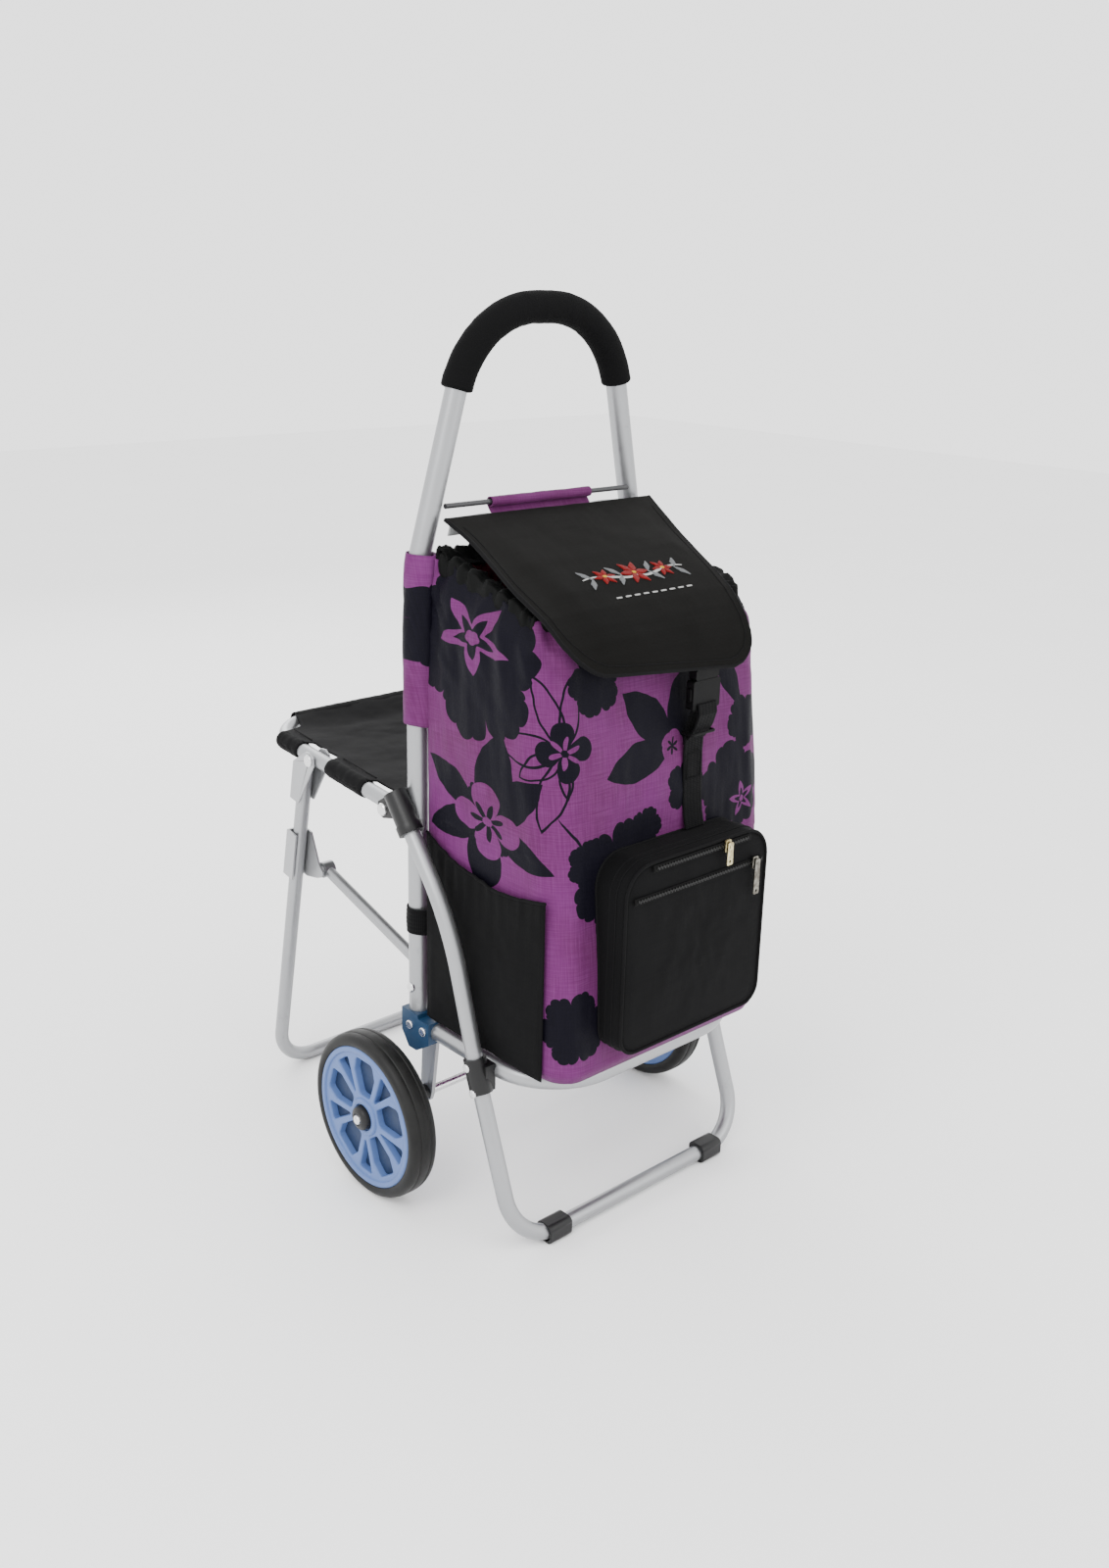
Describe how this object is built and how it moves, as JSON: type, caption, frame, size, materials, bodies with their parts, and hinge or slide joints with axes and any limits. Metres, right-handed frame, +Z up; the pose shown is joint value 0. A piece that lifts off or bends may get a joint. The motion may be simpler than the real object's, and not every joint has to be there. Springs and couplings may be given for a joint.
{
  "type": "shopping trolley",
  "caption": "Two-wheeled shopping trolley: soft printed bag with flap and zipped pocket on a bent-tube frame, with a fold-up seat behind it and a front stand.",
  "frame": {"origin": "on the floor, under the middle of the whole trolley's box", "axes": "+Z up, -Y towards the front of the bag, +Y towards the seat, X along the axle"},
  "size_m": [0.424, 0.523, 0.865],
  "materials": {
    "tube": "satin drawn tube",
    "bracket_steel": "satin pressed sheet",
    "bright_steel": "bright turned",
    "black_plastic": "fine moulded grain",
    "buckle_plastic": "smooth moulded",
    "dark_rod": "satin dark",
    "blue_dark": "moulded",
    "blue_light": "moulded",
    "tyre": "matt rubber",
    "foam": "closed cell foam",
    "print_fabric": "woven polyester with a dark floral print",
    "black_fabric": "woven polyester",
    "seat_fabric": "heavy woven polyester",
    "webbing": "woven tape",
    "zip": "coil zip",
    "zip_metal": "worn nickel brass",
    "board": "stiff board"
  },
  "bodies": {
    "frame": {"handle_frame": "tube", "foam_grip": "foam", "hem_rod": "dark_rod", "brace_left": "tube", "brace_right": "tube", "stand_frame": "tube", "platform_frame": "tube", "top_connector_left": "black_plastic", "top_connector_right": "black_plastic", "stand_connector_left": "black_plastic", "stand_connector_right": "black_plastic", "foot_clamp_left": "black_plastic", "foot_clamp_right": "black_plastic", "foot_bracket_left": "blue_dark", "foot_bracket_right": "blue_dark", "axle_strap_left": "bracket_steel", "axle_strap_right": "bracket_steel", "axle": "bright_steel", "axle_spacers": "black_plastic", "seat_bolts": "bright_steel", "link_bolts": "bright_steel", "frame_rivets": "bright_steel", "bag_shell": "print_fabric", "base_board": "board", "drawstring_collar": "black_fabric", "side_pocket_left": "black_fabric", "side_pocket_right": "black_fabric", "bag_sleeves": "print_fabric", "elastic_straps": "webbing", "rod_hem": "print_fabric", "front_pocket": "black_fabric", "bag_strap": "webbing", "buckle_female": "buckle_plastic", "pocket_zips": "zip"},
    "wheel_left": {"wheel_disc_left": "blue_light", "tyre_left": "tyre", "hub_cap_left": "black_plastic"},
    "wheel_right": {"wheel_disc_right": "blue_light", "tyre_right": "tyre", "hub_cap_right": "black_plastic"},
    "seat": {"seat_frame": "tube", "seat_fabric": "seat_fabric", "leg_pivot_rivets": "bright_steel"},
    "leg": {"leg_frame": "tube", "leg_bracket_upper_left": "bracket_steel", "leg_bracket_upper_right": "bracket_steel", "leg_bracket_lower_left": "bracket_steel", "leg_bracket_lower_right": "bracket_steel", "leg_rivets": "bright_steel"},
    "link_left": {"link_left": "tube", "link_rivet_left": "bright_steel"},
    "link_right": {"link_right": "tube", "link_rivet_right": "bright_steel"},
    "flap": {"flap": "black_fabric", "flap_strap": "webbing", "buckle_male": "buckle_plastic"},
    "button_left": {"buckle_button_left": "buckle_plastic"},
    "button_right": {"buckle_button_right": "buckle_plastic"},
    "puller_top": {"zip_puller_top": "zip_metal"},
    "puller_front": {"zip_puller_front": "zip_metal"}
  },
  "joints": [
    {"name": "wheel_left_spin", "type": "hinge", "parent": "frame", "child": "wheel_left", "pos_m": [-0.189, -0.0089, 0.085], "axis": [1, 0, 0], "continuous": true},
    {"name": "wheel_right_spin", "type": "hinge", "parent": "frame", "child": "wheel_right", "pos_m": [0.189, -0.0089, 0.085], "axis": [1, 0, 0], "continuous": true},
    {"name": "seat_fold", "type": "hinge", "parent": "frame", "child": "seat", "pos_m": [0, 0.0215, 0.389], "axis": [1, 0, 0], "range_deg": [0, 70]},
    {"name": "leg_fold", "type": "hinge", "parent": "seat", "child": "leg", "pos_m": [0, 0.1555, 0.4023], "axis": [1, 0, 0], "range_deg": [-69.3, 0]},
    {"name": "link_left_swing", "type": "hinge", "parent": "frame", "child": "link_left", "pos_m": [-0.117, -0.0145, 0.212], "axis": [1, 0, 0], "range_deg": [0, 46]},
    {"name": "link_right_swing", "type": "hinge", "parent": "frame", "child": "link_right", "pos_m": [0.117, -0.0145, 0.212], "axis": [1, 0, 0], "range_deg": [0, 46]},
    {"name": "flap_lift", "type": "hinge", "parent": "frame", "child": "flap", "pos_m": [0, -0.0345, 0.67], "axis": [-1, 0, 0], "range_deg": [0, 80]},
    {"name": "button_left_press", "type": "slide", "parent": "frame", "child": "button_left", "axis": [1, 0, 0], "range_m": [0, 0.0025], "stiffness_N_per_m": 400},
    {"name": "button_right_press", "type": "slide", "parent": "frame", "child": "button_right", "axis": [-1, 0, 0], "range_m": [0, 0.0025], "stiffness_N_per_m": 400},
    {"name": "puller_top_slide", "type": "slide", "parent": "frame", "child": "puller_top", "axis": [1, 0, 0], "range_m": [-0.085, 0.025]},
    {"name": "puller_front_slide", "type": "slide", "parent": "frame", "child": "puller_front", "axis": [1, 0, 0], "range_m": [-0.145, 0.004]}
  ],
  "couplings": [
    {"joint": "leg_fold", "follows": "seat_fold", "ratio": -0.9891},
    {"joint": "link_left_swing", "follows": "seat_fold", "ratio": 0.6562},
    {"joint": "link_right_swing", "follows": "seat_fold", "ratio": 0.6562}
  ]
}
